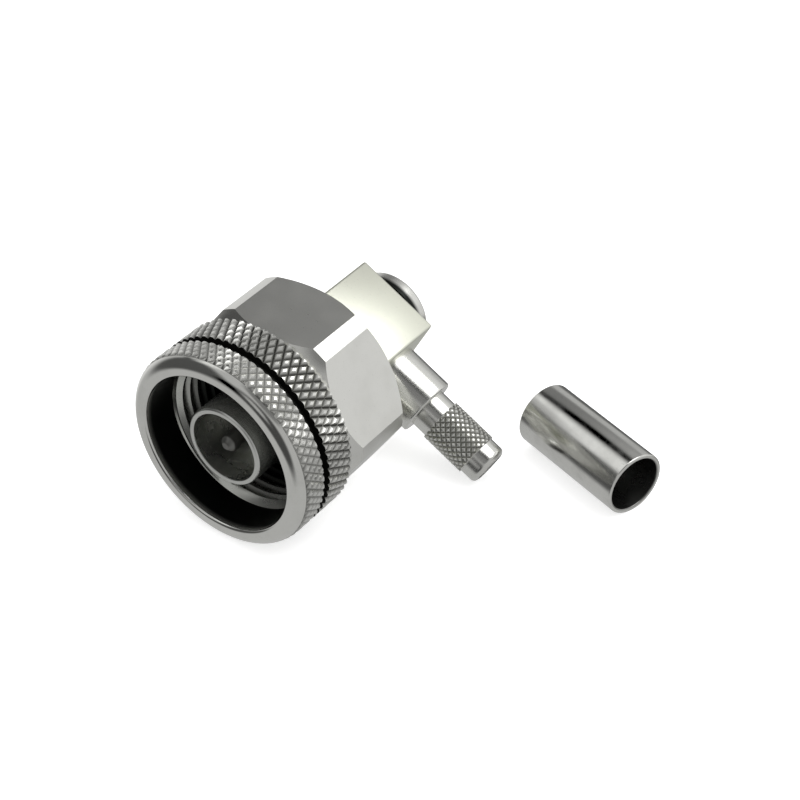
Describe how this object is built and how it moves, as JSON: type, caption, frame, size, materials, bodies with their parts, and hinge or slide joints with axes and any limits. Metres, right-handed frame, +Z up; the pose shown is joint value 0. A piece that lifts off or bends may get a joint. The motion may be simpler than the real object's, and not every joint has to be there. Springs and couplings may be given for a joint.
{
  "type": "right-angle n type plug",
  "caption": "Right-angle coaxial plug with a knurled and hexagonal union nut, square elbow, crimp stem and a loose crimp ferrule beside it.",
  "frame": {"origin": "on the mating axis, where the outer contact's plain wall starts behind its front chamfer", "axes": "-Y points out of the plug towards the jack, +Z up from the floor that the plug lies on, and the cable arm dips towards +X until its tip meets that floor"},
  "size_m": [0.0399, 0.0324, 0.02],
  "materials": {
    "nickel_plate": "bright nickel plate",
    "spring_bronze": "plain rolled strip",
    "silicone_rubber": "matte moulded rubber",
    "white_ptfe": "turned, waxy",
    "pin_plate": "bright silver plate"
  },
  "bodies": {
    "plug_body": {"retaining_ring": "spring_bronze", "sealing_gasket": "silicone_rubber", "outer_contact": "nickel_plate", "front_insulator": "white_ptfe", "centre_pin": "pin_plate", "elbow_housing": "nickel_plate", "elbow_insulator": "white_ptfe", "cable_stem": "nickel_plate", "stem_insulator": "white_ptfe", "back_cap": "nickel_plate", "crimp_ferrule": "nickel_plate"},
    "union_nut": {"coupling_nut": "nickel_plate"}
  },
  "joints": [
    {"name": "nut_spin", "type": "hinge", "parent": "plug_body", "child": "union_nut", "pos_m": [0, 0.0105, 0], "axis": [0, 1, 0], "continuous": true}
  ]
}
